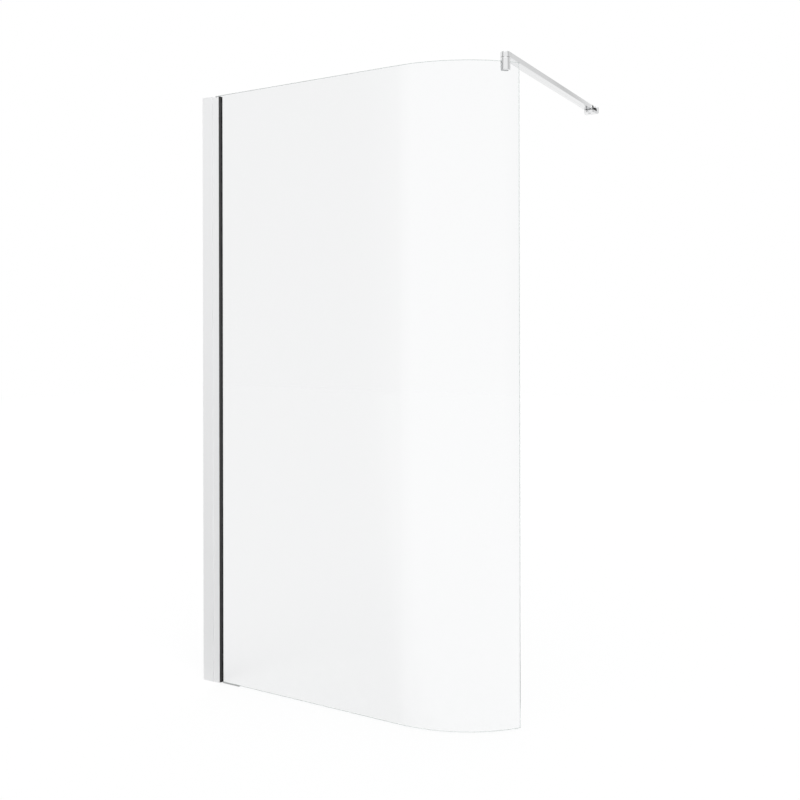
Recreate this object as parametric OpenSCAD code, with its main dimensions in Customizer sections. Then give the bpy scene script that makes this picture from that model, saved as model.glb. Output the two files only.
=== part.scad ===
// Walk-in shower screen. One pane of toughened glass stands in a two-part wall profile,
// runs straight out from the side wall and bends back at its free end. A flat support arm
// on a round swivel clamp braces the free end to the back wall.
// X runs out from the side wall along the flat glass, Y towards the back wall, Z up.
// The origin lies on the side wall, in the middle plane of the glass, at floor level.

/* [Glass] */
// Height of the pane
glass_h = 2000; // [1800:10:2100]
// Thickness of the pane
glass_t = 8; // [6:1:10]
// Distance from the side wall to where the bend starts
bend_x = 773; // [500:1:1000]
// Radius of the bend, on its outer face
bend_r = 420; // [300:5:700]
// Angle that the bend turns through
bend_angle = 52; // [35:1:70]
// Ground chamfer along the pane's edges
glass_arris = 0.6; // [0.3:0.1:1.5]
// Depth of the pane inside the profile's mouth
glass_bite = 19; // [17:1:19]
// Length of the rubber block under the pane
block_len = 70; // [20:1:80]
// Thickness of the rubber block under the pane
block_t = 3; // [2:0.5:6]
// Distance from the profile's mouth to the rubber block
block_gap = 10; // [8:1:80]

/* [Wall profile] */
// Height by which the pane stands above the wall profile's cap
pane_over = 3; // [0:0.5:20]
// Depth of the wall channel, out from the wall
channel_depth = 43; // [40:1:56]
// Thickness of the wall channel's two flanges
channel_wall = 1.8; // [1.4:0.1:2.5]
// Thickness of the wall channel's back
channel_back = 2.2; // [1.6:0.1:3]
// Distance from the wall to the mouth of the adjusting profile
mouth_x = 70; // [70:1:84]
// Thickness of the adjusting profile's walls
adjust_wall = 1.6; // [1.2:0.1:2]
// Side gap between the adjusting profile and the wall channel
slide_gap = 0.3; // [0.2:0.05:0.5]
// Travel of the adjusting profile each way from its middle place
adjust_travel = 10; // [5:1:10]
// Thickness of the two top caps
cap_t = 1.6; // [1:0.1:3]
// Height step from the channel cap's underside down to the adjusting profile's cap
cap_step = 0.3; // [0.2:0.1:1]
// Radius of the wall screw holes
wall_hole_r = 2.75; // [2:0.25:4]
// Distance between the top and bottom wall screw holes
wall_hole_span = 1800; // [1500:10:1900]
// Distance between the two middle wall screw holes
wall_hole_mid = 600; // [300:10:900]

/* [Gaskets] */
// Thickness of the gaskets between the pane and the adjusting profile
gasket_t = 4.3; // [3:0.1:6]
// Depth of the gaskets inside the mouth
gasket_depth = 16; // [8:1:18]
// Width of the gasket lip outside the mouth
gasket_lip = 7; // [3:0.5:12]

/* [Locking screws] */
// Shank radius of the locking screws
lock_r = 1.95; // [1.5:0.05:2.5]
// Distance from the wall to the locking screws
lock_x = 24; // [23:0.5:25]
// Distance from the top and bottom ends to the outer locking screws
lock_end = 200; // [150:10:400]
// Radius of the locking screws' heads
lock_head_r = 3.7; // [3:0.1:4]
// Height of the locking screws' heads
lock_head_h = 2.4; // [1.5:0.1:3]
// Radius of the washers that the snap caps grip
cap_base_r = 5.4; // [5:0.1:7]
// Thickness of the washers that the snap caps grip
cap_base_t = 1.3; // [1:0.1:2]
// Wall thickness of the snap caps
snap_wall = 1.1; // [0.8:0.1:1.5]

/* [Glass clamp] */
// Diameter of the round clamp
clamp_d = 30; // [28:1:40]
// Height of the round clamp
clamp_h = 37; // [34:1:50]
// Distance along the pane from its free end to the clamp's middle
clamp_inset = 45; // [30:1:200]
// Height of solid metal in the clamp above the glass slot
bridge_h = 8.3; // [6:0.1:12]
// Thickness of the soft pads on the pane's two faces
pad_t = 1.5; // [1:0.1:2]
// Thickness of the soft pad on the pane's top edge
edge_pad_t = 1.4; // [1:0.1:3]
// Thickness of the plate that spreads the screws' pressure
plate_t = 2; // [1.5:0.1:2.5]
// Gap around the soft pads and the pressure plate
pad_gap = 0.1; // [0.05:0.05:0.3]
// Thread radius of the clamp's grub screws
grub_r = 2.5; // [2:0.25:3]
// Length of the clamp's grub screws
grub_len = 6; // [4:0.5:6]

/* [Support arm] */
// Distance from the middle plane of the flat glass to the back wall
back_wall_y = 920; // [600:1:1400]
// Width of the arm
arm_w = 30; // [28:1:40]
// Height of the arm
arm_h = 16; // [14:1:25]
// Chamfer along the arm's edges
arm_edge = 0.6; // [0.3:0.1:1.5]
// Wall thickness of the arm's tube
tube_wall = 1.5; // [1:0.1:2.5]
// Length of each end piece from its pivot to the tube
end_len = 14; // [12:1:30]
// Length of each end piece inside the tube
spigot_len = 38; // [25:1:60]
// Gap between the tube and the end pieces' spigots
spigot_gap = 0.15; // [0.05:0.05:0.3]
// Thickness of the gliding washers under the arm
washer_t = 1; // [0.8:0.1:2]
// Gap above each gliding washer
washer_gap = 0.1; // [0.05:0.05:0.2]
// Shank radius of the pivot screws
pivot_r = 3; // [2.5:0.25:4]
// Running clearance around the pivot screws
pivot_gap = 0.05; // [0.02:0.01:0.1]
// Depth of the pivot screws in the end pieces
pivot_depth = 11; // [8:0.5:12]

/* [Wall bracket] */
// Width of the bracket's plate
plate_w = 52; // [44:1:70]
// Height of the bracket's plate
plate_h = 27; // [26:1:50]
// Thickness of the bracket's plate over its base
bracket_t = 10; // [9:0.5:14]
// Corner radius of the bracket's plate
plate_corner = 6; // [4:0.5:8]
// Wall thickness of the bracket's plate
bracket_wall = 3; // [2:0.1:4]
// Height of the plate's top above the lug's top
plate_over = 18; // [17:0.5:24]
// Width of the round-nosed lug under the arm
lug_w = 40; // [30:1:42]
// Height of the lug under the arm
lug_h = 9; // [9:0.5:18]
// Gap between the arm's round end and the bracket's plate
bracket_gap = 3; // [2:0.5:8]
// Thickness of the base plate on the wall
base_t = 5; // [4:0.5:6]
// Gap between the base plate and the bracket that covers it
base_gap = 0.3; // [0.1:0.05:0.5]
// Distance between the base plate's two screw holes
base_hole_span = 28; // [20:1:30]
// Radius of the base plate's screw holes
base_hole_r = 2.25; // [1.75:0.25:2.5]

/* [Hidden] */
$fn = 64;
// sides of the full circle that the bend is a part of
bend_fn = 720;
// how far a cutter runs past the surface that it cuts
over = 1;

// The wall profile with its cap follows the pane's height
profile_h = block_t + glass_h - pane_over;

// Widths across the profile follow from the glass and the gaskets
pocket_w = glass_t + 2 * gasket_t;
adjust_w = pocket_w + 2 * adjust_wall;
channel_inner = adjust_w + 2 * slide_gap;
channel_w = channel_inner + 2 * channel_wall;
channel_len = profile_h - cap_t;
adjust_len = channel_len - cap_step - cap_t;
adjust_top = adjust_len + cap_t;

// The pane
arc_r = bend_r - glass_t / 2;
glass_x0 = mouth_x - glass_bite;
glass_top = block_t + glass_h;

// The adjusting profile's cross web stands behind the pane's hidden edge
web_gap = 2.4;
web_x = glass_x0 - web_gap - adjust_wall;
// room between the wall channel's back and the profile pushed right in
back_room = 5.3;
adjust_x0 = channel_back + back_room + adjust_travel;

// Locking screws
lock_gap = 0.25;
lock_zs = [lock_end, channel_len / 2, channel_len - lock_end];
lock_reach = 5;
base_lift = 0.1;
snap_gap = 0.15;
head_room = 0.5;

// The clamp stands on the bend, turned to the pane's tangent there
clamp_turn = bend_angle - clamp_inset / arc_r * 180 / PI;
clamp_x = bend_x + arc_r * sin(clamp_turn);
clamp_y = arc_r * (1 - cos(clamp_turn));
// the pads and the plate keep this far inside the round clamp, and above its lower rim
pad_inset = 1.5;
pad_foot = 2;
slot_front = glass_t / 2 + pad_t;
pad_half = asin((clamp_d / 2 - pad_inset - pad_foot) / arc_r);
pad_sag = arc_r * (1 - cos(pad_half));
plate_y = slot_front + pad_sag + pad_gap;
slot_back = plate_y + plate_t + pad_gap;
slot_top = glass_top + edge_pad_t + pad_gap;
clamp_top = slot_top + bridge_h;
clamp_z0 = clamp_top - clamp_h;
clamp_edge = 0.8;
grub_low = 8;
grub_high = 20;

// The arm
arm_z0 = clamp_top + washer_t;
wall_pivot_y = back_wall_y - bracket_t - bracket_gap - arm_w / 2;
tube_len = wall_pivot_y - clamp_y - 2 * end_len;
spigot_w = arm_w - 2 * tube_wall - 2 * spigot_gap;
spigot_h = arm_h - 2 * tube_wall - 2 * spigot_gap;
// the gliding washers stay this far inside the round ends
washer_inset = 2;
washer_r = min(arm_w, clamp_d) / 2 - washer_inset;
end_screw_r = 2;
end_screw_len = 5;
end_screw_y = end_len + 12;
sink_r = 5.5;
sink_rim = 0.4;
socket_r = 2.3;
socket_deep = 2;
thread_gap = 0.03;

// The bracket: the top of its lug is level with the top of the clamp
lug_z0 = clamp_top - lug_h;
plate_z0 = clamp_top + plate_over - plate_h;
plate_z = plate_z0 + plate_h / 2;
bracket_y = arm_w / 2 + bracket_gap;
base_w = plate_w - 2 * bracket_wall - 2 * base_gap;
base_h = plate_h - 2 * bracket_wall - 2 * base_gap;
base_corner = plate_corner - bracket_wall;
// room for the wall screws' heads between the base plate and the bracket's front wall
screw_room = 2;
face_wall = bracket_t - base_t - screw_room;
head_r = 5;
head_gap = 0.3;
// metal left in the lug above the pivot screw's head
lug_metal = 4;
bore_deep = lug_h - lug_metal;
// how far the head stays above the lug's underside
head_sunk = 1.5;
head_h = bore_deep - head_sunk;
hex_grub_r = 1.5;
hex_grub_len = 7;
// how much wider than its hole a countersink gets
sink_grow = 2;

// A rectangle w by h centred on the origin with its corners cut by c
module cut_rect(w, h, c) {
    polygon([
        [-w / 2 + c, -h / 2], [w / 2 - c, -h / 2], [w / 2, -h / 2 + c], [w / 2, h / 2 - c],
        [w / 2 - c, h / 2], [-w / 2 + c, h / 2], [-w / 2, h / 2 - c], [-w / 2, -h / 2 + c]
    ]);
}

// A bar along +Y from the origin, w wide and h high on the plane Z = 0, with chamfered edges
module bar_y(w, h, len, c) {
    translate([0, len, h / 2])
        rotate([90, 0, 0])
            linear_extrude(len)
                cut_rect(w, h, c);
}

// A half disc of radius r and height h that faces -Y, with chamfered rims
module half_disc(r, h, c) {
    rotate([0, 0, 180])
        rotate_extrude(angle = 180)
            polygon([[0, 0], [r - c, 0], [r, c], [r, h - c], [r - c, h], [0, h]]);
}

// A plate along +Y from the origin, w by h about the Y axis, with corners of radius r
module round_plate(w, h, t, r) {
    translate([0, t, 0])
        rotate([90, 0, 0])
            linear_extrude(t)
                union() {
                    square([w - 2 * r, h], center = true);
                    square([w, h - 2 * r], center = true);
                    for (sx = [-1, 1], sy = [-1, 1])
                        translate([sx * (w / 2 - r), sy * (h / 2 - r)])
                            circle(r);
                }
}

// A flat ring about Z
module ring(outer, inner, t) {
    difference() {
        cylinder(r = outer, h = t);
        translate([0, 0, -over])
            cylinder(r = inner, h = t + 2 * over);
    }
}

// A hexagon socket that opens downwards at the origin
module hex_socket(r, deep) {
    translate([0, 0, -over])
        cylinder(r = r, h = deep + over, $fn = 6);
}

// A headless screw along +Z from the origin with a hexagon socket in its lower end
module grub_screw(r, len) {
    socket_width = 0.6;
    socket_depth = 0.4;
    difference() {
        cylinder(r = r, h = len);
        hex_socket(r * socket_width, len * socket_depth);
    }
}

module at_locks() {
    for (z = lock_zs)
        translate([lock_x, channel_w / 2, z])
            rotate([-90, 0, 0])
                children();
}

module at_clamp() {
    translate([clamp_x, clamp_y, 0])
        rotate([0, 0, clamp_turn])
            children();
}

module at_bracket() {
    translate([clamp_x, wall_pivot_y, 0])
        children();
}

// The U-shaped channel that is screwed to the side wall
module wall_channel() {
    color("gainsboro")
    difference() {
        linear_extrude(channel_len)
            polygon([
                [0, -channel_w / 2], [channel_depth, -channel_w / 2],
                [channel_depth, -channel_inner / 2], [channel_back, -channel_inner / 2],
                [channel_back, channel_inner / 2], [channel_depth, channel_inner / 2],
                [channel_depth, channel_w / 2], [0, channel_w / 2]
            ]);
        for (span = [wall_hole_span, wall_hole_mid], s = [-1, 1])
            translate([-over, 0, channel_len / 2 + s * span / 2])
                rotate([0, 90, 0])
                    cylinder(r = wall_hole_r, h = channel_back + 2 * over);
        // slots that the locking screws slide along
        at_locks()
            translate([0, 0, -channel_wall - over]) {
                for (s = [-1, 1])
                    translate([s * adjust_travel, 0, 0])
                        cylinder(r = lock_r + lock_gap, h = channel_wall + 2 * over);
                translate([-adjust_travel, -lock_r - lock_gap, 0])
                    cube([2 * adjust_travel, 2 * (lock_r + lock_gap), channel_wall + 2 * over]);
            }
    }
}

// The cover on the channel's top, with a tongue down behind the adjusting profile and a notch
// that clears the pane and the gaskets when the profile is pushed right in
module channel_cap() {
    tongue_t = 3;
    tongue_h = 14;
    notch_gap = 0.8;
    notch_x = glass_x0 - adjust_travel - notch_gap;
    notch_w = pocket_w + 2 * notch_gap;
    color("silver")
    union() {
        difference() {
            translate([0, -channel_w / 2, channel_len])
                cube([channel_depth, channel_w, cap_t]);
            translate([notch_x, -notch_w / 2, channel_len - over])
                cube([channel_depth, notch_w, cap_t + 2 * over]);
        }
        translate([channel_back, -pocket_w / 2, channel_len - tongue_h])
            cube([tongue_t, pocket_w, tongue_h + cap_t / 2]);
    }
}

// The profile that slides in the channel and holds the pane in its mouth
module adjusting_profile() {
    color("gainsboro")
    difference() {
        linear_extrude(adjust_len)
            union() {
                for (y = [-adjust_w / 2, adjust_w / 2 - adjust_wall])
                    translate([adjust_x0, y])
                        square([mouth_x - adjust_x0, adjust_wall]);
                translate([web_x, -adjust_w / 2])
                    square([adjust_wall, adjust_w]);
            }
        at_locks()
            translate([0, 0, -channel_w / 4])
                cylinder(r = lock_r + thread_gap, h = channel_w / 4);
    }
}

// The cover on the adjusting profile's top, plugged in between its two legs
module profile_cap() {
    plug_h = 8;
    plug_gap = 0.1;
    color("silver")
    union() {
        translate([adjust_x0, -adjust_w / 2, adjust_len])
            cube([web_x + adjust_wall - adjust_x0, adjust_w, cap_t]);
        translate([adjust_x0, -pocket_w / 2 + plug_gap, adjust_len - plug_h])
            cube([web_x - plug_gap - adjust_x0, pocket_w - 2 * plug_gap, plug_h + cap_t / 2]);
    }
}

// One gasket beside the pane: a stem in the mouth and a sloped lip that covers the mouth's end. It
// starts at the pane's foot and ends flush with the profile's cap.
module gasket(side) {
    near = glass_t / 2;
    far = pocket_w / 2;
    edge = adjust_w / 2;
    lip_tip = 1.6;
    color([0.1, 0.1, 0.1])
    translate([0, 0, block_t])
    linear_extrude(adjust_top - block_t)
        polygon([
            for (p = [
                [mouth_x - gasket_depth, near], [mouth_x + gasket_lip, near],
                [mouth_x + gasket_lip, near + lip_tip], [mouth_x + gasket_lip / 3, edge],
                [mouth_x, edge], [mouth_x, far], [mouth_x - gasket_depth, far]
            ]) [p[0], side * p[1]]
        ]);
}

module outer_gasket() {
    gasket(-1);
}

module inner_gasket() {
    gasket(1);
}

// The rubber block that the pane stands on
module setting_block() {
    color([0.45, 0.45, 0.45])
    translate([mouth_x + block_gap, -glass_t / 2, 0])
        cube([block_len, glass_t, block_t]);
}

// Three pan-head screws through the channel's slots into the adjusting profile
module locking_screws() {
    slot_w = 1.2;
    color("silver")
    at_locks()
        difference() {
            union() {
                translate([0, 0, -lock_reach])
                    cylinder(r = lock_r, h = lock_reach + base_lift + cap_base_t + lock_head_h / 2);
                translate([0, 0, base_lift + cap_base_t])
                    cylinder(r = lock_head_r, h = lock_head_h);
            }
            translate([-lock_head_r, -slot_w / 2, base_lift + cap_base_t + lock_head_h / 2])
                cube([2 * lock_head_r, slot_w, lock_head_h]);
        }
}

// Washers under the screws' heads that the snap caps grip
module screw_cap_bases() {
    color("whitesmoke")
    at_locks()
        translate([0, 0, base_lift])
            ring(cap_base_r, lock_r + lock_gap, cap_base_t);
}

// Snap caps that hide the locking screws
module screw_caps() {
    inner = cap_base_r + snap_gap;
    inside = cap_base_t + lock_head_h + head_room;
    edge = 0.8;
    color("whitesmoke")
    at_locks()
        translate([0, 0, base_lift])
            difference() {
                rotate_extrude()
                    polygon([
                        [0, 0], [inner + snap_wall, 0], [inner + snap_wall, inside],
                        [inner + snap_wall - edge, inside + snap_wall], [0, inside + snap_wall]
                    ]);
                translate([0, 0, -over])
                    cylinder(r = inner, h = inside + over);
            }
}

// The pane: a flat run and a bend, with a ground chamfer along the top and bottom edges
module glass_panel() {
    color([0.85, 0.93, 0.95, 0.35])
    translate([0, 0, block_t])
        union() {
            translate([glass_x0, 0, glass_h / 2])
                rotate([90, 0, 90])
                    linear_extrude(bend_x - glass_x0)
                        cut_rect(glass_t, glass_h, glass_arris);
            translate([bend_x, arc_r, glass_h / 2])
                rotate([0, 0, -90])
                    rotate_extrude(angle = bend_angle, $fn = bend_fn)
                        translate([arc_r, 0])
                            cut_rect(glass_t, glass_h, glass_arris);
        }
}

// The round clamp: a cylinder with a slot for the pane and a pivot hole through its bridge
module clamp_body() {
    r = clamp_d / 2;
    sink_h = sink_r - pivot_r;
    color("silver")
    at_clamp()
        difference() {
            translate([0, 0, clamp_z0])
                rotate_extrude()
                    polygon([
                        [0, 0], [r - clamp_edge, 0], [r, clamp_edge], [r, clamp_h - clamp_edge],
                        [r - clamp_edge, clamp_h], [0, clamp_h]
                    ]);
            translate([-clamp_d, -slot_front, clamp_z0 - over])
                cube([2 * clamp_d, slot_front + slot_back, slot_top - clamp_z0 + over]);
            translate([0, 0, slot_top - over])
                cylinder(r = pivot_r + pivot_gap, h = bridge_h + 2 * over);
            translate([0, 0, slot_top - over])
                cylinder(r = sink_r + head_gap, h = over + sink_rim);
            translate([0, 0, slot_top + sink_rim])
                cylinder(r1 = sink_r + head_gap, r2 = pivot_r + pivot_gap, h = sink_h + head_gap);
            for (z = [grub_low, grub_high])
                translate([0, 0, clamp_z0 + z])
                    rotate([-90, 0, 0])
                        cylinder(r = grub_r + thread_gap, h = clamp_d);
        }
}

// A soft strip in the slot, bent about the bend's centre between the radii r0 and r1
module bent_pad(r0, r1) {
    color("white")
    at_clamp()
        translate([0, arc_r, clamp_z0 + pad_foot])
            rotate([0, 0, -90 - pad_half])
                rotate_extrude(angle = 2 * pad_half, $fn = bend_fn)
                    translate([r0, 0])
                        square([r1 - r0, glass_top - clamp_z0 - pad_foot]);
}

// The soft pad on the pane's outer face
module front_pad() {
    bent_pad(bend_r + pad_gap, bend_r + pad_t);
}

// The soft pad on the pane's inner face
module rear_pad() {
    bent_pad(bend_r - glass_t - pad_t, bend_r - glass_t - pad_gap);
}

// The soft pad between the pane's top edge and the slot's roof
module edge_pad() {
    half = clamp_d / 2 - pad_inset - over;
    color("white")
    at_clamp()
        translate([-half, -glass_t / 2, glass_top + pad_gap])
            cube([2 * half, glass_t, edge_pad_t]);
}

// The steel plate between the grub screws and the rear pad
module pressure_plate() {
    half = sqrt(pow(clamp_d / 2, 2) - pow(plate_y + plate_t, 2)) - pad_inset;
    color("gray")
    at_clamp()
        translate([-half, plate_y, clamp_z0 + pad_foot])
            cube([2 * half, plate_t, glass_top - clamp_z0 - pad_foot]);
}

// Two headless screws in the clamp's rear jaw
module clamp_grub_screws() {
    color("dimgray")
    at_clamp()
        for (z = [grub_low, grub_high])
            translate([0, slot_back + grub_len, clamp_z0 + z])
                rotate([90, 0, 0])
                    grub_screw(grub_r, grub_len);
}

// The gliding washer between the clamp and the arm
module clamp_washer() {
    color("whitesmoke")
    at_clamp()
        translate([0, 0, clamp_top])
            ring(washer_r, pivot_r + head_gap, washer_t - washer_gap);
}

// The countersunk screw up through the clamp's bridge into the arm
module clamp_pivot_screw() {
    color("silver")
    at_clamp()
        translate([0, 0, slot_top + pad_gap])
            difference() {
                rotate_extrude()
                    polygon([
                        [0, 0], [sink_r, 0], [sink_r, sink_rim],
                        [pivot_r, sink_r - pivot_r + sink_rim],
                        [pivot_r, arm_z0 + pivot_depth - slot_top - pad_gap],
                        [0, arm_z0 + pivot_depth - slot_top - pad_gap]
                    ]);
                hex_socket(socket_r, socket_deep);
            }
}

// One end piece, its pivot on the origin and the arm along +Y
module arm_end() {
    difference() {
        union() {
            half_disc(arm_w / 2, arm_h, arm_edge);
            bar_y(arm_w, arm_h, end_len, arm_edge);
            translate([-spigot_w / 2, end_len - over, (arm_h - spigot_h) / 2])
                cube([spigot_w, spigot_len + over, spigot_h]);
        }
        translate([0, 0, -over])
            cylinder(r = pivot_r + thread_gap, h = pivot_depth + 2 * over);
        translate([0, end_screw_y, -over])
            cylinder(r = end_screw_r + thread_gap, h = end_screw_len + 2 * over);
    }
}

module arm_clamp_end() {
    color("silver")
    translate([clamp_x, clamp_y, arm_z0])
        arm_end();
}

module arm_wall_end() {
    color([0.1, 0.1, 0.1])
    translate([clamp_x, wall_pivot_y, arm_z0])
        rotate([0, 0, 180])
            arm_end();
}

// The flat tube between the two end pieces
module arm_tube() {
    color("silver")
    translate([clamp_x, clamp_y + end_len, arm_z0])
        difference() {
            bar_y(arm_w, arm_h, tube_len, arm_edge);
            translate([-arm_w / 2 + tube_wall, -over, tube_wall])
                cube([arm_w - 2 * tube_wall, tube_len + 2 * over, arm_h - 2 * tube_wall]);
            for (y = [end_screw_y - end_len, tube_len - end_screw_y + end_len])
                translate([0, y, -over])
                    cylinder(r = end_screw_r + thread_gap, h = tube_wall + 2 * over);
        }
}

// Headless screws that hold the end pieces in the tube, one under each end
module arm_end_screws() {
    color("dimgray")
    for (y = [clamp_y + end_screw_y, wall_pivot_y - end_screw_y])
        translate([clamp_x, y, arm_z0 + thread_gap])
            grub_screw(end_screw_r, end_screw_len);
}

// The gliding washer between the bracket's lug and the arm
module bracket_washer() {
    color("whitesmoke")
    at_bracket()
        translate([0, 0, clamp_top])
            ring(washer_r, pivot_r + head_gap, washer_t - washer_gap);
}

// The socket-head screw up through the lug into the arm
module bracket_pivot_screw() {
    head_top = lug_z0 + bore_deep - washer_gap;
    color("silver")
    at_bracket()
        translate([0, 0, head_top - head_h])
            difference() {
                rotate_extrude()
                    polygon([
                        [0, 0], [head_r, 0], [head_r, head_h], [pivot_r, head_h],
                        [pivot_r, arm_z0 + pivot_depth - head_top + head_h],
                        [0, arm_z0 + pivot_depth - head_top + head_h]
                    ]);
                hex_socket(socket_r, socket_deep + over);
            }
}

// The visible bracket: a hollow plate over the base and a lug under the arm
module bracket_body() {
    color("silver")
    at_bracket()
        difference() {
            union() {
                translate([0, bracket_y, plate_z])
                    round_plate(plate_w, plate_h, bracket_t, plate_corner);
                translate([0, 0, lug_z0])
                    half_disc(lug_w / 2, lug_h, arm_edge);
                translate([0, 0, lug_z0])
                    bar_y(lug_w, lug_h, bracket_y + over, arm_edge);
            }
            translate([0, bracket_y + face_wall, plate_z])
                round_plate(plate_w - 2 * bracket_wall, plate_h - 2 * bracket_wall, bracket_t,
                    base_corner);
            translate([0, 0, lug_z0 - over])
                cylinder(r = pivot_r + pivot_gap, h = lug_h + 2 * over);
            translate([0, 0, lug_z0 - over])
                cylinder(r = head_r + head_gap, h = bore_deep + over);
            translate([0, bracket_y + bracket_t - base_t / 2, plate_z0 - over])
                cylinder(r = hex_grub_r + thread_gap, h = bracket_wall + 2 * over);
        }
}

// The base plate that is screwed to the back wall, with countersunk holes
module bracket_base() {
    sink = base_hole_r + sink_grow;
    color("gray")
    at_bracket()
        difference() {
            translate([0, bracket_y + bracket_t - base_t, plate_z])
                round_plate(base_w, base_h, base_t, base_corner);
            for (s = [-1, 1])
                translate([s * base_hole_span / 2, bracket_y + bracket_t, plate_z])
                    rotate([90, 0, 0]) {
                        translate([0, 0, -over])
                            cylinder(r = base_hole_r, h = base_t + 2 * over);
                        translate([0, 0, base_t - sink + base_hole_r])
                            cylinder(r1 = base_hole_r, r2 = sink + over, h = sink - base_hole_r + over);
                    }
            translate([0, bracket_y + bracket_t - base_t / 2, plate_z0])
                cylinder(r = hex_grub_r + thread_gap, h = hex_grub_len + head_gap);
        }
}

// The headless screw under the plate that locks it to the base
module bracket_grub_screw() {
    color("dimgray")
    at_bracket()
        translate([0, bracket_y + bracket_t - base_t / 2, plate_z0 + thread_gap])
            grub_screw(hex_grub_r, hex_grub_len);
}

wall_channel();
channel_cap();
adjusting_profile();
profile_cap();
outer_gasket();
inner_gasket();
setting_block();
locking_screws();
screw_cap_bases();
screw_caps();
glass_panel();
clamp_body();
front_pad();
rear_pad();
edge_pad();
pressure_plate();
clamp_grub_screws();
clamp_washer();
clamp_pivot_screw();
arm_clamp_end();
arm_tube();
arm_wall_end();
arm_end_screws();
bracket_washer();
bracket_pivot_screw();
bracket_body();
bracket_base();
bracket_grub_screw();
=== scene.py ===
# %% [markdown]
# # Walk-in shower screen
# One pane of toughened glass stands in a two-part wall profile. It runs straight out from the side
# wall and bends back at its free end. A flat support arm on a round swivel clamp braces that end to
# the back wall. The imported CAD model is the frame: every piece below is placed by its numbers.

# %% Load the CAD model as the frame
import math

import bpy
import numpy as np
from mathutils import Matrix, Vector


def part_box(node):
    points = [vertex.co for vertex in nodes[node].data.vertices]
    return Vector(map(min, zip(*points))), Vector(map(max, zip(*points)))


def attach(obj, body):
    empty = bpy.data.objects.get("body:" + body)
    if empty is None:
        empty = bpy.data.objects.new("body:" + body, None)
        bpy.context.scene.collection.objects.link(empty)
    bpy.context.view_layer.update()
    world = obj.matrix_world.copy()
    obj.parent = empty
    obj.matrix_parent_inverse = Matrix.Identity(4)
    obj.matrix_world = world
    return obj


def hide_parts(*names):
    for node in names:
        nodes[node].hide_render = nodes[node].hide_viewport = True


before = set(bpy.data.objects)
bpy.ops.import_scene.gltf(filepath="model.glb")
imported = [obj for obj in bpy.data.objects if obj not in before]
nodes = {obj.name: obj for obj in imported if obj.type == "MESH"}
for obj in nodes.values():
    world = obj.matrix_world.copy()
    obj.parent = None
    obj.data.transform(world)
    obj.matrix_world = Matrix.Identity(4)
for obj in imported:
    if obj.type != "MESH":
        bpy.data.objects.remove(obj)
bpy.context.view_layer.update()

# %% [markdown]
# ## The camera
# The photograph is taken a little above half the screen's height, from the front and the right. The
# camera looks level, which keeps the uprights parallel, and leans by a tenth of a degree. Its lens
# is shifted, so that the horizon stands above the middle of the picture.

# %% Camera at the photograph's place
LENS_MM, SENSOR_MM, LENS_SHIFT = 41.991, 36.0, -0.0819
CAMERA_PLACE = (2.2052, -2.4445, 1.1861)
CAMERA_LEAN, CAMERA_TURN = math.radians(0.11), math.radians(30.275)

camera_data = bpy.data.cameras.new("photo_camera")
camera_data.sensor_width = SENSOR_MM
camera_data.lens = LENS_MM
camera_data.shift_y = LENS_SHIFT
camera_data.clip_end = 100.0
camera = bpy.data.objects.new("photo_camera", camera_data)
camera.location = CAMERA_PLACE
camera.rotation_euler = (math.pi / 2, CAMERA_LEAN, CAMERA_TURN)
bpy.context.scene.collection.objects.link(camera)
bpy.context.scene.camera = camera
bpy.context.scene.view_settings.view_transform = "Standard"
print("camera", tuple(camera.location), "lens", camera_data.lens)

# %% [markdown]
# ## Node helpers
# Each finish below is a small network of shader nodes. Three helpers keep the cells short: one adds
# a node with its settings, one joins two sockets, and one mixes two shaders by a switch.

# %% Three helpers for shader nodes
def add(tree, kind, **values):
    """Adds a node of this kind. A value whose name is a property sets it, any other sets the input
    of that name with its underscores read as blanks."""
    node = tree.nodes.new(kind)
    for key, value in values.items():
        if hasattr(node, key):
            setattr(node, key, value)
        else:
            node.inputs[key.replace("_", " ")].default_value = value
    return node


def join(tree, source, output, target, socket):
    """Links two sockets, each given by its name or by its place in the row of sockets."""
    tree.links.new(source.outputs[output], target.inputs[socket])


def blend(tree, switch, off, on):
    """A mix of two shaders: off where the switch is 0, on where it is 1."""
    mix = add(tree, "ShaderNodeMixShader")
    join(tree, switch, "Value", mix, "Fac")
    join(tree, off, 0, mix, 1)
    join(tree, on, 0, mix, 2)
    return mix


# %% [markdown]
# ## Surroundings and light
# The picture is a studio shot on pure white. White paper all round would light the metal evenly and
# leave it flat, so polished faces need something to reflect. The surroundings are white for the
# camera and behind the glass. For reflections they change round the compass: a narrow grey screen
# stands at the front left, the front is bright, the right side and the part behind it are dim, and
# the rest is bright again. The flat part of the pane and the profile mirror the grey screen. The
# bend mirrors the bright front, which sets it off from the flat part by a soft upright line. The
# screen's right edge fades out in steps, because the last of the flat part mirrors that edge. The
# arm's long side mirrors the dim part.

# %% The shades round the compass, as a node group
# Each shade is a bearing in degrees and a level. The strip is the grey screen at the front left.
ROOM_STRIP = [(-50, 1.05), (-44, 0.37), (-33, 0.33), (-31.2, 0.45), (-30.3, 0.66), (-25, 0.9), (-16, 1.1)]
FLOOR_STRIP = [(-76, 1.05), (-58, 0.44), (-34.5, 0.34), (-32.3, 0.42), (-31, 0.66), (-26, 0.9), (-16, 1.1)]
BEHIND = (-180, 1.05)
RIGHT_AND_BACK = [(62, 1.1), (80, 0.92), (97, 0.66), (140, 0.88), (156, 0.83), (162, 0.72), (180, 1.05)]
# A colour ramp holds levels up to 1, so it holds a share of each, and the group scales it back.
RAMP_SHARE = 0.5


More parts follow.
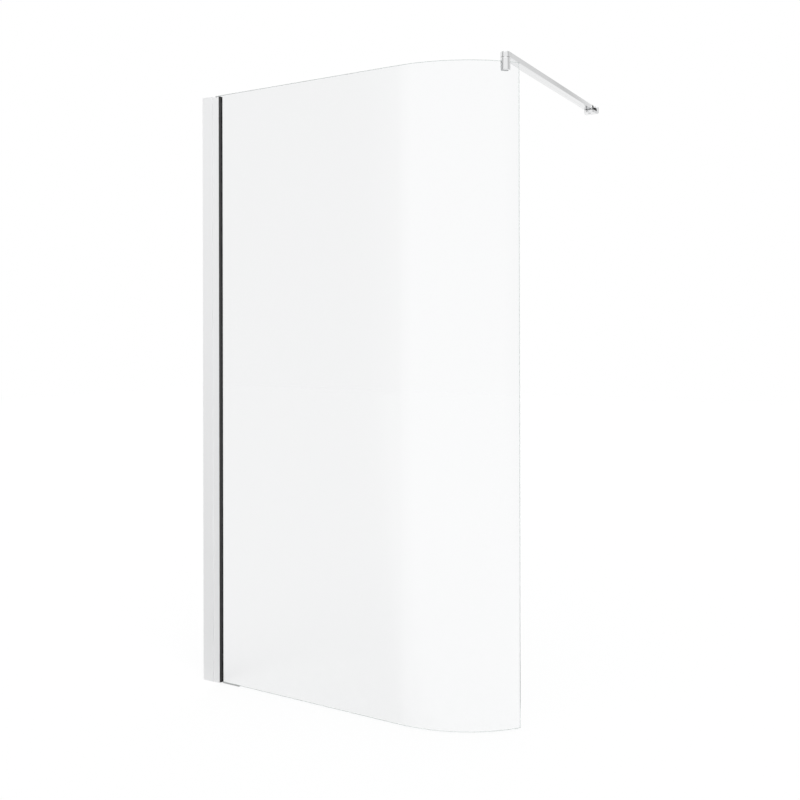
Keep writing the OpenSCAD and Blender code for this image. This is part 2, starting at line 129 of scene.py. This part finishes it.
def compass_group(name, strip):
    """A group that takes a direction and gives a grey. The bearing is atan2(x, -y), 0 towards the
    front and positive to the right, and a colour ramp over the full turn holds the shades."""
    group = bpy.data.node_groups.new(name, "ShaderNodeTree")
    group.interface.new_socket("Vector", in_out="INPUT", socket_type="NodeSocketVector")
    group.interface.new_socket("Level", in_out="OUTPUT", socket_type="NodeSocketFloat")
    into = add(group, "NodeGroupInput")
    split = add(group, "ShaderNodeSeparateXYZ")
    join(group, into, "Vector", split, "Vector")
    front = add(group, "ShaderNodeMath", operation="MULTIPLY")
    front.inputs[1].default_value = -1.0
    join(group, split, "Y", front, 0)
    bearing = add(group, "ShaderNodeMath", operation="ARCTAN2")
    join(group, split, "X", bearing, 0)
    join(group, front, "Value", bearing, 1)
    turn = add(group, "ShaderNodeMapRange", From_Min=-math.pi, From_Max=math.pi)
    join(group, bearing, "Value", turn, "Value")
    shades = add(group, "ShaderNodeValToRGB")
    ramp = shades.color_ramp
    ramp.interpolation = "EASE"
    stops = [BEHIND] + strip + RIGHT_AND_BACK
    while len(ramp.elements) < len(stops):
        ramp.elements.new(0.5)
    for stop, (degrees, level) in zip(ramp.elements, stops):
        grey = level * RAMP_SHARE
        stop.position = (degrees + 180) / 360
        stop.color = (grey, grey, grey, 1)
    join(group, turn, "Result", shades, "Fac")
    full = add(group, "ShaderNodeMath", operation="MULTIPLY")
    full.inputs[1].default_value = 1 / RAMP_SHARE
    join(group, shades, "Color", full, 0)
    leave = add(group, "NodeGroupOutput")
    join(group, full, "Value", leave, "Level")
    print(name, "has", len(stops), "shades")
    return group


room_compass = compass_group("shades_of_the_room", ROOM_STRIP)
floor_compass = compass_group("shades_over_the_floor", FLOOR_STRIP)


# %% Which rays see plain white, and which see the compass
def ray_kinds(tree):
    """Two switches. The first is 1 for the camera's rays and for those that come through glass. The
    second is 1 for rays that a polished face has mirrored, also on the inside of the glass: those
    with a glossy bounce behind them and no matt face as the last one."""
    ray = add(tree, "ShaderNodeLightPath")
    clear_view = add(tree, "ShaderNodeMath", operation="MAXIMUM")
    join(tree, ray, "Is Camera Ray", clear_view, 0)
    join(tree, ray, "Is Transmission Ray", clear_view, 1)
    bounced = add(tree, "ShaderNodeMath", operation="GREATER_THAN")
    join(tree, ray, "Glossy Depth", bounced, 0)
    join(tree, ray, "Is Diffuse Ray", bounced, 1)
    return clear_view, bounced


# %% Surroundings: white to the camera and behind glass, graded to reflections
PLAIN_LIGHT, WHITE = 0.85, 1.0

world = bpy.data.worlds.new("studio")
bpy.context.scene.world = world
world.use_nodes = True
tree = world.node_tree
tree.nodes.clear()
where = add(tree, "ShaderNodeTexCoord")
shades = add(tree, "ShaderNodeGroup", node_tree=room_compass)
join(tree, where, "Generated", shades, "Vector")
clear_view, bounced = ray_kinds(tree)
plain = add(tree, "ShaderNodeBackground", Color=(1, 1, 1, 1), Strength=PLAIN_LIGHT)
white = add(tree, "ShaderNodeBackground", Color=(1, 1, 1, 1), Strength=WHITE)
seen = blend(tree, clear_view, plain, white)
mirrored = add(tree, "ShaderNodeBackground", Color=(1, 1, 1, 1))
join(tree, shades, "Level", mirrored, "Strength")
either = blend(tree, bounced, seen, mirrored)
out = add(tree, "ShaderNodeOutputWorld")
join(tree, either, 0, out, "Surface")
print("surroundings made")

# %% [markdown]
# ## The lamp
# One lamp high above the front is as soft as a large cloth ceiling, and it lights the whole floor
# alike. It lets the screen throw a faint shadow with no hard edge.

# %% One soft lamp
LAMP_STRENGTH = 1.5
LAMP_SOFTNESS, LAMP_TILT, LAMP_TURN = math.radians(50), math.radians(32), math.radians(18)

lamp_data = bpy.data.lights.new("soft_ceiling", "SUN")
lamp_data.energy = LAMP_STRENGTH
lamp_data.angle = LAMP_SOFTNESS
lamp = bpy.data.objects.new("soft_ceiling", lamp_data)
# Only the way that such a lamp points counts. It is put above the front to be found there.
lamp.location = (1.6, -2.4, 4.2)
lamp.rotation_euler = (LAMP_TILT, 0.0, LAMP_TURN)
bpy.context.scene.collection.objects.link(lamp)
print("lamp strength", lamp_data.energy)

# %% [markdown]
# ## The floor
# The floor is pale paper. Most of its brightness is its own, as seen by the camera and through
# glass, and the rest comes from the light, so a faint shadow stays on it while the lit paper is as
# white as the backdrop. In reflections it takes the shades of the surroundings above it, so that no
# edge runs across a mirrored face where floor and surroundings meet. Near the foot of the screen
# the bearings on the floor lie farther apart, so its grey strip is wider.

# %% Floor
FLOOR_REACH, FLOOR_DROP = 14.0, 0.0002
BELOW_THE_SCREEN = (1.1, 0.5, 0.0)
# The paper's own brightness, what it adds for the camera and glass, and its shade in the light
OWN_GLOW, GLOW_TO_VIEW, PAPER_SHADE = 0.185, 0.48, 0.27

corners = np.array([[-1, -1], [1, -1], [1, 1], [-1, 1]]) * FLOOR_REACH
floor_mesh = bpy.data.meshes.new("floor")
floor_mesh.from_pydata([(x, y, -FLOOR_DROP) for x, y in corners.tolist()], [], [(0, 1, 2, 3)])
floor = bpy.data.objects.new("floor", floor_mesh)
floor.location = BELOW_THE_SCREEN
bpy.context.scene.collection.objects.link(floor)
paper = bpy.data.materials.new("white_paper")
paper.use_nodes = True
tree = paper.node_tree
tree.nodes.clear()
clear_view, bounced = ray_kinds(tree)
glow = add(tree, "ShaderNodeMath", operation="MULTIPLY_ADD")
glow.inputs[1].default_value = GLOW_TO_VIEW
glow.inputs[2].default_value = OWN_GLOW
join(tree, clear_view, "Value", glow, 0)
own = add(tree, "ShaderNodeEmission", Color=(1, 1, 1, 1))
join(tree, glow, "Value", own, "Strength")
lit = add(tree, "ShaderNodeBsdfDiffuse", Color=(PAPER_SHADE, PAPER_SHADE, PAPER_SHADE, 1))
both = add(tree, "ShaderNodeAddShader")
join(tree, own, 0, both, 0)
join(tree, lit, 0, both, 1)
where = add(tree, "ShaderNodeTexCoord")
shades = add(tree, "ShaderNodeGroup", node_tree=floor_compass)
join(tree, where, "Object", shades, "Vector")
mirrored = add(tree, "ShaderNodeEmission", Color=(1, 1, 1, 1))
join(tree, shades, "Level", mirrored, "Strength")
polished = blend(tree, bounced, both, mirrored)
out = add(tree, "ShaderNodeOutputMaterial")
join(tree, polished, 0, out, "Surface")
floor_mesh.materials.append(paper)
print("floor", 2 * FLOOR_REACH, "m wide")

# %% [markdown]
# ## Finishes
# The screen has few finishes, so each gets the detail that the real one shows from near. The
# pattern of every finish lies in Object coordinates, in metres, so it has its real size.

# %% A finish with a fine grain in roughness and relief
def grained(name, colour, metallic, rough, grain, relief, edge=0.0):
    """A Principled finish. grain is the scale of its noise along X, Y and Z in turns per metre.
    Roughness runs between the two values of rough with the noise, relief is the height of the
    noise in metres, and edge is the radius in metres by which sharp edges look rounded."""
    finish = bpy.data.materials.new(name)
    finish.use_nodes = True
    tree = finish.node_tree
    skin = tree.nodes["Principled BSDF"]
    skin.inputs["Base Color"].default_value = (*colour, 1)
    skin.inputs["Metallic"].default_value = metallic
    place = add(tree, "ShaderNodeTexCoord")
    scale = add(tree, "ShaderNodeMapping")
    scale.inputs["Scale"].default_value = grain
    join(tree, place, "Object", scale, "Vector")
    noise = add(tree, "ShaderNodeTexNoise", Scale=1.0, Detail=4.0, Roughness=0.6)
    join(tree, scale, "Vector", noise, "Vector")
    spread = add(tree, "ShaderNodeMapRange", From_Min=0.3, From_Max=0.7, To_Min=rough[0], To_Max=rough[1])
    join(tree, noise, "Fac", spread, "Value")
    join(tree, spread, "Result", skin, "Roughness")
    bump = add(tree, "ShaderNodeBump", Strength=1.0, Distance=relief)
    join(tree, noise, "Fac", bump, "Height")
    if edge:
        bevel = add(tree, "ShaderNodeBevel", samples=6, Radius=edge)
        join(tree, bevel, "Normal", bump, "Normal")
    join(tree, bump, "Normal", skin, "Normal")
    return finish


# %% The finishes of metal, rubber and plastic
profile_metal = grained("anodised_aluminium", (0.94, 0.945, 0.95), metallic=0.35, rough=(0.38, 0.50),
                        grain=(900, 900, 6), relief=3e-6, edge=0.0004)
chrome = grained("polished_chrome", (0.745, 0.75, 0.755), metallic=1.0, rough=(0.08, 0.16),
                 grain=(60, 60, 60), relief=1e-6)
steel = grained("turned_steel", (0.62, 0.62, 0.63), metallic=1.0, rough=(0.22, 0.38),
                grain=(1500, 1500, 300), relief=4e-6, edge=0.0002)
rubber = grained("black_rubber", (0.018, 0.018, 0.019), metallic=0.0, rough=(0.45, 0.62),
                 grain=(500, 500, 60), relief=1e-5)
grey_rubber = grained("grey_rubber", (0.42, 0.42, 0.42), metallic=0.0, rough=(0.45, 0.62),
                      grain=(500, 500, 500), relief=1e-5)
nylon = grained("white_nylon", (0.80, 0.80, 0.79), metallic=0.0, rough=(0.38, 0.5),
                grain=(700, 700, 700), relief=6e-6)
# Black nylon for the arm's end at the wall, whose black is painted shade for the joint at the bracket
black_nylon_painted_shade = grained("black_nylon_painted_shade", (0.03, 0.03, 0.03), metallic=0.0, rough=(0.38, 0.5),
                      grain=(700, 700, 700), relief=6e-6)
soft_vinyl = grained("clear_vinyl", (0.88, 0.9, 0.9), metallic=0.0, rough=(0.3, 0.42),
                     grain=(400, 400, 400), relief=6e-6)
print("finishes:", [m.name for m in bpy.data.materials])

# %% [markdown]
# ## Glass
# The pane is clear glass, 8 mm thick. Its faces are plain and polished. Its ground edges are cut
# across the plate, so one looks into the depth of the glass there, and they are greener and a little
# matt. For lamps and soft light the glass counts as a thin clear film, so that its shadow stays
# pale, as a real pane's is. Both faces of the pane mirror the surroundings, the front one from
# outside and the rear one from inside.

# %% Two glass finishes
def glass_finish(name, colour, film, rough):
    """Refracting glass with the index 1.5, mixed with a clear film of its own colour, which is what
    lamps and soft light meet."""
    finish = bpy.data.materials.new(name)
    finish.use_nodes = True
    tree = finish.node_tree
    skin = tree.nodes["Principled BSDF"]
    skin.inputs["Base Color"].default_value = (*colour, 1)
    skin.inputs["Transmission Weight"].default_value = 1.0
    skin.inputs["IOR"].default_value = 1.5
    skin.inputs["Roughness"].default_value = rough
    ray = add(tree, "ShaderNodeLightPath")
    soft = add(tree, "ShaderNodeMath", operation="MAXIMUM")
    join(tree, ray, "Is Shadow Ray", soft, 0)
    join(tree, ray, "Is Diffuse Ray", soft, 1)
    clear = add(tree, "ShaderNodeBsdfTransparent", Color=(*film, 1))
    mix = blend(tree, soft, skin, clear)
    join(tree, mix, 0, tree.nodes["Material Output"], "Surface")
    print(name, "colour", colour)
    return finish


pane_glass = glass_finish("clear_glass", (0.946, 0.950, 0.954), (0.95, 0.955, 0.955), 0.0)
edge_glass = glass_finish("ground_edge", (0.50, 0.61, 0.57), (0.85, 0.88, 0.87), 0.3)

# %% [markdown]
# ## Shapes
# Nearly every fitting is a slab: an outline carried along an axis, with rounded rims at both ends.
# The outline is a function of how far it is drawn in, so one formula gives the rounded rims too.

# %% Outlines
# A corner never closes to a point, so an outline keeps all its points.
LEAST_CORNER = 1e-6


def disc(radius, sides=96):
    """The circle of a radius: (r - d) times the cosine and sine of the angle."""
    angle = np.linspace(0, 2 * np.pi, sides, endpoint=False)
    return lambda d: (radius - d) * np.c_[np.cos(angle), np.sin(angle)]


def tongue(radius, length, sides=48):
    """A half circle about the origin on the low side, and two straight sides up to length."""
    angle = np.linspace(np.pi, 2 * np.pi, sides + 1)

    def at(d):
        r = radius - d
        return np.vstack([r * np.c_[np.cos(angle), np.sin(angle)], [[r, length - d], [-r, length - d]]])
    return at


def rounded_rectangle(width, height, corner, steps=8):
    """Four quarter circles of the corner radius about the four inner corner points. Where it is
    drawn in by more than that radius, its sharp corners move in with its sides."""
    quarter = np.linspace(0, np.pi / 2, steps + 1)
    angle = (quarter[None, :] + np.arange(4)[:, None] * np.pi / 2).ravel()
    side = np.repeat(np.array([[1, 1], [-1, 1], [-1, -1], [1, -1]]), steps + 1, axis=0)
    middle = side * np.array([width / 2 - corner, height / 2 - corner])
    round_ = np.c_[np.cos(angle), np.sin(angle)]
    return lambda d: middle + max(corner - d, LEAST_CORNER) * round_ + side * min(corner - d, 0)


# %% Slab: an outline carried along an axis
SAME_HEIGHT = 1e-9


def grid_faces(rows, columns):
    """Quads between neighbouring rows of a grid, whose columns close into a ring."""
    i = np.arange(rows - 1)[:, None] * columns
    j = np.arange(columns)[None, :]
    k = (j + 1) % columns
    return np.stack([i + j, i + k, i + k + columns, i + j + columns], axis=-1).reshape(-1, 4)


def slab(outline, low, high, rims, steps=4):
    """Rows of the outline from low to high. Near each end the outline draws in by
    rim * (1 - sin a) while the height changes by rim * (1 - cos a), a quarter circle."""
    a = np.linspace(0, np.pi / 2, steps + 1)
    foot, head = rims
    inset = np.r_[foot * (1 - np.sin(a)), (head * (1 - np.sin(a)))[::-1]]
    height = np.r_[low + foot * (1 - np.cos(a)), (high - head * (1 - np.cos(a)))[::-1]]
    # Rows at the height of the row before are left out, as they are where a rim is 0.
    keep = np.r_[True, np.abs(np.diff(height)) > SAME_HEIGHT]
    rows = [np.c_[outline(d), np.full(len(outline(d)), h)] for d, h in zip(inset[keep], height[keep])]
    n = len(rows[0])
    points = np.vstack(rows)
    faces = grid_faces(len(rows), n).tolist()
    faces.append(list(range(n))[::-1])
    faces.append(list(range(len(points) - n, len(points))))
    return points, faces


# %% From arrays to a finished piece
# A millimetre in metres, which are the scene's units
MM = 0.001
SHARP_DEGREES = 35.0


def turned(points, frame_of, origin):
    """Points in a piece's own axes become points in the row frame, in millimetres."""
    return points @ np.array(frame_of, float) + np.array(origin, float)


def mesh_object(name, points, faces, material, angle=SHARP_DEGREES):
    """A mesh from points in millimetres, smooth except over edges sharper than the angle."""
    mesh = bpy.data.meshes.new(name)
    mesh.from_pydata((np.asarray(points) * MM).tolist(), [], [list(f) for f in faces])
    mesh.validate()
    mesh.shade_smooth()
    mesh.set_sharp_from_angle(angle=math.radians(angle))
    mesh.materials.append(material)
    piece = bpy.data.objects.new(name, mesh)
    bpy.context.scene.collection.objects.link(piece)
    return piece


def merged(*parts):
    """Several (points, faces) as one."""
    points, faces, start = [], [], 0
    for p, f in parts:
        points.append(p)
        faces += [[i + start for i in face] for face in f]
        start += len(p)
    return np.vstack(points), faces


def finish_piece(piece, body, slot_name, *stands_for):
    """Says which body carries the piece and the nodes that it stands for. slot_name is not used."""
    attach(piece, body)
    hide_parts(*stands_for)
    print(piece.name, len(piece.data.polygons), "faces, rides on", body)


def cut(piece, *cutters):
    """Takes the cutters' volumes out of the piece and removes them."""
    for cutter in cutters:
        modifier = piece.modifiers.new("cut", "BOOLEAN")
        modifier.operation, modifier.solver, modifier.object = "DIFFERENCE", "EXACT", cutter
    graph = bpy.context.evaluated_depsgraph_get()
    done = bpy.data.meshes.new_from_object(piece.evaluated_get(graph))
    piece.modifiers.clear()
    piece.data = done
    for cutter in cutters:
        bpy.data.objects.remove(cutter)
    done.shade_smooth()
    done.set_sharp_from_angle(angle=math.radians(SHARP_DEGREES))


# %% Main sizes, in millimetres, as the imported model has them
def span(node):
    """The low and high corner of a node's box."""
    low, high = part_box(node)
    return np.array(low) / MM, np.array(high) / MM


# The pane's thickness, the X where its bend starts, and the bend's outer radius and angle
THICK, BEND_X, BEND_R, TURN = 8.0, 773.0, 420.0, math.radians(52.0)
mid_r = BEND_R - THICK / 2
glass_low, glass_high = span("glass_panel")
arm_low, arm_high = span("arm_tube")
clamp_low, clamp_high = span("clamp_body")
clamp_at = (clamp_low + clamp_high) / 2
print("pane from z", glass_low[2], "to", glass_high[2], "clamp at", clamp_at.round(1))

# %% [markdown]
# ## The pane
# A real pane like this is cut flat, has its edges ground, and is then bent in an oven over a former
# and toughened. Here it is its section, an 8 mm thick plate with a small arris at each corner,
# carried along the line of the plan: straight, then round a circle. The last ring at each end is
# drawn in by the arris, so that the upright edges are ground too.

# %% Pane
ARRIS = 0.6
# How many rings the flat part and the bend have, and the flat stretch before the first of them
FLAT_RINGS, BEND_RINGS, FIRST_STRETCH = 8, 73, 60.0


def plan_line(s, t):
    """The point at length s along the pane's middle line and t towards its outer face: straight
    along X, and past the bend's start round the circle of the middle radius."""
    angle = np.clip((s - BEND_X) / mid_r, 0, None)
    x = np.minimum(s, BEND_X) + (mid_r + t) * np.sin(angle)
    y = mid_r - (mid_r + t) * np.cos(angle)
    return x, y


def pane_section(inset):
    """Eight corners of the chamfered section as (t, z), drawn in by inset."""
    t, low, high = THICK / 2 - inset, glass_low[2] + inset, glass_high[2] - inset
    return np.array([[-t, low + ARRIS], [-t + ARRIS, low], [t - ARRIS, low], [t, low + ARRIS],
                     [t, high - ARRIS], [t - ARRIS, high], [-t + ARRIS, high], [-t, high - ARRIS]])


length = BEND_X + mid_r * TURN
start = glass_low[0]
s = np.r_[start, start + ARRIS, np.linspace(start + FIRST_STRETCH, BEND_X, FLAT_RINGS),
          np.linspace(BEND_X, length - ARRIS, BEND_RINGS)[1:], length]
end_inset = np.zeros(len(s))
end_inset[[0, -1]] = ARRIS
rings = np.stack([pane_section(d) for d in end_inset])
x, y = plan_line(s[:, None], rings[:, :, 0])
points = np.stack([x, y, rings[:, :, 1]], axis=-1).reshape(-1, 3)
faces = [f[::-1] for f in grid_faces(len(s), 8).tolist()]
faces += [list(range(8)), list(range(len(points) - 8, len(points)))[::-1]]
pane = mesh_object("pane", points, faces, pane_glass, angle=25)

# %% The pane's two finishes
# Columns 3 and 7 of the grid are the outer and inner faces, all others are the ground edge.
pane.data.materials.append(edge_glass)
column = np.r_[np.tile(np.arange(8), len(s) - 1), [0, 0]]
row = np.r_[np.repeat(np.arange(len(s) - 1), 8), [0, 0]]
is_face = np.isin(column, (3, 7)) & (row > 0) & (row < len(s) - 2)
pane.data.polygons.foreach_set("material_index", (~is_face).astype(np.int32))
finish_piece(pane, "screen", "glass", "glass_panel")

# %% [markdown]
# ## Support arm
# The arm is a flat tube, polished and chromed, with a half-round end piece pushed into each end.
# The one on the clamp is machined and chromed like the tube. The one at the wall is black plastic,
# and it turns on the bracket. Its black is painted shade: it stands for the shade in the joint where
# the arm's end meets the bracket. Each of the three is a slab with rounded rims, so a fine line shows
# where they meet, as on the real arm.

# %% Arm tube
# Each way to lay a slab gives the directions of its width, its depth and its axis.
ALONG_Y = [[-1, 0, 0], [0, 0, 1], [0, 1, 0]]
UPRIGHT = [[1, 0, 0], [0, 1, 0], [0, 0, 1]]
TURNED_ROUND = [[-1, 0, 0], [0, -1, 0], [0, 0, 1]]
TUBE_CORNER, TUBE_RIM = 1.0, 0.25
END_SCREW_R, END_HOLE_R, END_HOLE_DEEP = 2.0, 2.05, 6.0
# How far a cutter stands out of the face that it starts from
PAST = 1.0

arm_x = (arm_low[0] + arm_high[0]) / 2
arm_w, arm_h = arm_high[0] - arm_low[0], arm_high[2] - arm_low[2]
section = rounded_rectangle(arm_w, arm_h, TUBE_CORNER)
points, faces = slab(section, arm_low[1], arm_high[1], (TUBE_RIM, TUBE_RIM))
tube_middle = (arm_x, 0, arm_low[2] + arm_h / 2)
tube = mesh_object("arm_tube_polished", turned(points, ALONG_Y, tube_middle), faces, chrome)
screw_low, screw_high = span("arm_end_screws")
holes = []
for y in (screw_low[1] + END_SCREW_R, screw_high[1] - END_SCREW_R):
    points, faces = slab(disc(END_HOLE_R, sides=32), arm_low[2] - PAST, arm_low[2] + END_HOLE_DEEP, (0, 0))
    holes.append(mesh_object("hole", turned(points, UPRIGHT, (arm_x, y, 0)), faces, chrome))
cut(tube, *holes)
finish_piece(tube, "arm", "chrome", "arm_tube")

# %% The arm's two ends
END_RIM = 0.8

first_low, first_high = span("arm_clamp_end")
last_low, last_high = span("arm_wall_end")
pivot_y = first_low[1] + arm_w / 2
far_pivot_y = last_high[1] - arm_w / 2
end_len = arm_low[1] - pivot_y
points, faces = slab(tongue(arm_w / 2, end_len), first_low[2], first_high[2], (END_RIM, END_RIM))
first = mesh_object("arm_end_at_clamp", turned(points, UPRIGHT, (arm_x, pivot_y, 0)), faces, chrome)
finish_piece(first, "arm", "chrome", "arm_clamp_end")
far_pivot = (arm_x, far_pivot_y, 0)
# The end at the wall is black as painted shade, for the shaded joint between the arm and the bracket.
last = mesh_object("arm_end_at_wall", turned(points, TURNED_ROUND, far_pivot), faces, black_nylon_painted_shade)
finish_piece(last, "arm", "black_plastic", "arm_wall_end")

# %% [markdown]
# ## Glass clamp
# The clamp is turned from a round bar and then milled: a slot from below takes the pane and its soft
# pads, and two threaded holes in the rear jaw take the screws that press the plate. Here it is a
# round slab, and the slot and the holes are cut from it in the same way.

# %% Clamp
# How far the clamp stands from the pane's free edge, along the pane's middle line
FROM_FREE_EDGE = 45.0
CLAMP_RIM = 0.8
SLOT_FRONT, SLOT_BACK, SLOT_RIM = -5.5, 7.86, 0.3
# The thickness of the soft pad that lies on the pane's top edge
EDGE_PAD = 1.5
# Thirty sides put no corner of the drill on an upright edge of the clamp, which keeps the cut clean.
DRILL_R, DRILL_SIDES, DRILL_HEIGHTS = 2.55, 30, (8.0, 20.0)
# The slot's cutter is longer than the clamp is wide, and the cutters reach past foot and wall.
CUTTER_LENGTH, CUTTER_CORNER = 80.0, 1.0
PAST_FOOT, PAST_WALL = 5.0, 5.0

clamp_turn = TURN - FROM_FREE_EDGE / mid_r
turn_c, turn_s = math.cos(clamp_turn), math.sin(clamp_turn)
AT_CLAMP = [[turn_c, turn_s, 0], [-turn_s, turn_c, 0], [0, 0, 1]]
ACROSS_CLAMP = [[-turn_c, -turn_s, 0], [0, 0, 1], [-turn_s, turn_c, 0]]
clamp_x, clamp_y = clamp_at[:2]
clamp_r = (clamp_high[0] - clamp_low[0]) / 2
points, faces = slab(disc(clamp_r), clamp_low[2], clamp_high[2], (CLAMP_RIM, CLAMP_RIM))
clamp = mesh_object("glass_clamp", turned(points, AT_CLAMP, (clamp_x, clamp_y, 0)), faces, chrome)

slot_top = glass_high[2] + EDGE_PAD
opening = rounded_rectangle(CUTTER_LENGTH, SLOT_BACK - SLOT_FRONT, CUTTER_CORNER)
points, faces = slab(opening, clamp_low[2] - PAST_FOOT, slot_top, (0, SLOT_RIM))
points = points + np.array([0, (SLOT_FRONT + SLOT_BACK) / 2, 0])
slot_cutter = mesh_object("slot", turned(points, AT_CLAMP, (clamp_x, clamp_y, 0)), faces, chrome)
drills = []
for height in DRILL_HEIGHTS:
    points, faces = slab(disc(DRILL_R, DRILL_SIDES), SLOT_BACK - PAST, clamp_r + PAST_WALL, (0, 0))
    points = turned(points, ACROSS_CLAMP, (clamp_x, clamp_y, clamp_low[2] + height))
    drills.append(mesh_object("drill", points, faces, chrome))
cut(clamp, slot_cutter, *drills)
finish_piece(clamp, "screen", "chrome", "clamp_body")

# %% [markdown]
# ## Wall bracket
# The bracket is a hollow plate that covers a screwed-on base, with a round-nosed lug under the arm.
# Its front edge is rounded by the polishing. A deep hole from below hides the head of the screw that
# the arm turns on.

# %% Bracket plate
PLATE_DEEP, PLATE_WALL, PLATE_CORNER = 10.0, 3.0, 6.0
PLATE_FRONT_RIM, PLATE_BACK_RIM = 1.2, 0.1
GRUB_HOLE_R, GRUB_HOLE_DEEP = 1.55, 5.0

body_low, body_high = span("bracket_body")
plate_w, plate_h = body_high[0] - body_low[0], body_high[2] - body_low[2]
plate_middle = (arm_x, 0, (body_low[2] + body_high[2]) / 2)
front_y, back_y = body_high[1] - PLATE_DEEP, body_high[1]
outside = rounded_rectangle(plate_w, plate_h, PLATE_CORNER)
points, faces = slab(outside, front_y, back_y, (PLATE_FRONT_RIM, PLATE_BACK_RIM))
plate = mesh_object("bracket_cover", turned(points, ALONG_Y, plate_middle), faces, chrome)
inside = rounded_rectangle(plate_w - 2 * PLATE_WALL, plate_h - 2 * PLATE_WALL, PLATE_CORNER - PLATE_WALL)
points, faces = slab(inside, front_y + PLATE_WALL, back_y + PAST_WALL, (0, 0))
hollow = mesh_object("hollow", turned(points, ALONG_Y, plate_middle), faces, chrome)
grub_low, grub_high = span("bracket_grub_screw")
grub_at = (arm_x, (grub_low[1] + grub_high[1]) / 2, 0)
points, faces = slab(disc(GRUB_HOLE_R, sides=24), body_low[2] - PAST, body_low[2] + GRUB_HOLE_DEEP, (0, 0))
grub_hole = mesh_object("grub_hole", turned(points, UPRIGHT, grub_at), faces, chrome)
cut(plate, hollow, grub_hole)
finish_piece(plate, "bracket", "chrome", "bracket_body")

# %% Bracket lug
LUG_R, LUG_HIGH, LUG_RIM, INTO_PLATE = 20.0, 9.0, 0.6, 1.0
BORE_R, BORE_DEEP = 5.3, 5.0

lug_top = clamp_high[2]
lug_foot = lug_top - LUG_HIGH
nose = tongue(LUG_R, front_y - far_pivot_y + INTO_PLATE)
points, faces = slab(nose, lug_foot, lug_top, (LUG_RIM, LUG_RIM))
lug = mesh_object("bracket_lug", turned(points, UPRIGHT, far_pivot), faces, chrome)
points, faces = slab(disc(BORE_R, sides=48), lug_foot - PAST, lug_foot + BORE_DEEP, (0, 0))
bore = mesh_object("bore", turned(points, UPRIGHT, far_pivot), faces, chrome)
cut(lug, bore)
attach(lug, "bracket")
print("lug", len(lug.data.polygons), "faces")

# %% [markdown]
# ## Gaskets
# The two black gaskets are extruded rubber, pushed into the mouth of the profile on both sides of
# the pane. They are cut off flush with the profile's cap. Their lips are soft, so the corners of
# the section are cut twice, each cut taking a quarter of every side, which rounds them.

# %% Gaskets
# The X where the profile ends and the gasket's lip begins
MOUTH_X = 70.0
# Distances from the pane's middle: the gasket's inner side, its root's far side and its lip's top
NEAR, ROOT, LIP = THICK / 2, 8.3, 9.9
ROOT_STEP, LIP_END = 6.0, 1.6


def corner_cut(section, rounds=2, share=0.25):
    """Each side from p to q becomes the side from p + share (q - p) to q - share (q - p)."""
    for _ in range(rounds):
        following = np.roll(section, -1, axis=0)
        section = np.stack([section + share * (following - section),
                            following - share * (following - section)], axis=1).reshape(-1, 2)
    return section


def gasket_corners(root_x, tip_x):
    """The section as (x, y): a flat root inside the profile and a lip that slopes to its tip."""
    return np.array([[root_x, NEAR], [MOUTH_X - 4, NEAR], [MOUTH_X + 2, NEAR], [tip_x, NEAR],
                     [tip_x, NEAR + LIP_END], [MOUTH_X + 4.6, LIP - LIP_END], [MOUTH_X + 2.4, LIP],
                     [MOUTH_X, LIP], [MOUTH_X, ROOT], [MOUTH_X - ROOT_STEP, ROOT], [root_x, ROOT]])


for name, node, side in (("gasket_outside", "outer_gasket", -1), ("gasket_inside", "inner_gasket", 1)):
    low, high = span(node)
    section = corner_cut(gasket_corners(low[0], high[0])) * [1, side]
    section = section if side > 0 else section[::-1]
    points, faces = slab(lambda d: section, low[2], high[2], (0, 0))
    gasket = mesh_object(name, points, faces, rubber)
    finish_piece(gasket, "screen", "gasket", node)

# %% [markdown]
# ## The block under the pane
# The pane's weight rests on a short block of grey rubber beside the profile, so that its edge never
# meets the hard floor. The block is a low slab, a little softer at its foot, where it is pressed.

# %% The rubber block under the pane
BLOCK_CORNER, BLOCK_RIMS = 1.5, (0.4, 0.2)

low, high = span("setting_block")
footprint = rounded_rectangle(high[0] - low[0], high[1] - low[1], BLOCK_CORNER)
points, faces = slab(footprint, low[2], high[2], BLOCK_RIMS)
block_at = ((low[0] + high[0]) / 2, 0, 0)
block = mesh_object("rubber_block", turned(points, UPRIGHT, block_at), faces, grey_rubber)
finish_piece(block, "screen", "grey_rubber", "setting_block")

# %% [markdown]
# ## Snap caps
# Three small chromed caps hide the locking screws on the shower side. They are pressed from thin
# sheet, with a softly rounded rim.

# %% Snap caps
CAP_RIMS = (0.2, 1.5)

low, high = span("screw_caps")
cap_r = (high[0] - low[0]) / 2
cap_x = (high[0] + low[0]) / 2
cap_z = np.array([low[2] + cap_r, (low[2] + high[2]) / 2, high[2] - cap_r])
parts = []
for z in cap_z:
    points, faces = slab(disc(cap_r, sides=72), low[1], high[1], CAP_RIMS, steps=6)
    parts.append((turned(points, ALONG_Y, (cap_x, 0, z)), faces))
caps = mesh_object("snap_caps", *merged(*parts), chrome)
finish_piece(caps, "screen", "chrome", "screw_caps")

# %% [markdown]
# ## The pieces that keep the model's shape
# The two profiles and their caps have sharp extruded edges in reality too, and the screws, washers
# and pads are mostly hidden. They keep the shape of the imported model, and only get their finish.

# %% Finishes of the CAD nodes that stay
keep = {
    profile_metal: ["wall_channel", "adjusting_profile", "channel_cap", "profile_cap"],
    steel: ["locking_screws", "pressure_plate", "clamp_grub_screws", "clamp_pivot_screw", "arm_end_screws",
            "bracket_pivot_screw", "bracket_base", "bracket_grub_screw"],
    nylon: ["screw_cap_bases", "clamp_washer", "bracket_washer"],
    soft_vinyl: ["front_pad", "rear_pad", "edge_pad"],
}
for finish, names in keep.items():
    for name in names:
        slots = nodes[name].data.materials
        slots.clear()
        slots.append(finish)
    print(finish.name, "on", len(names), "nodes")
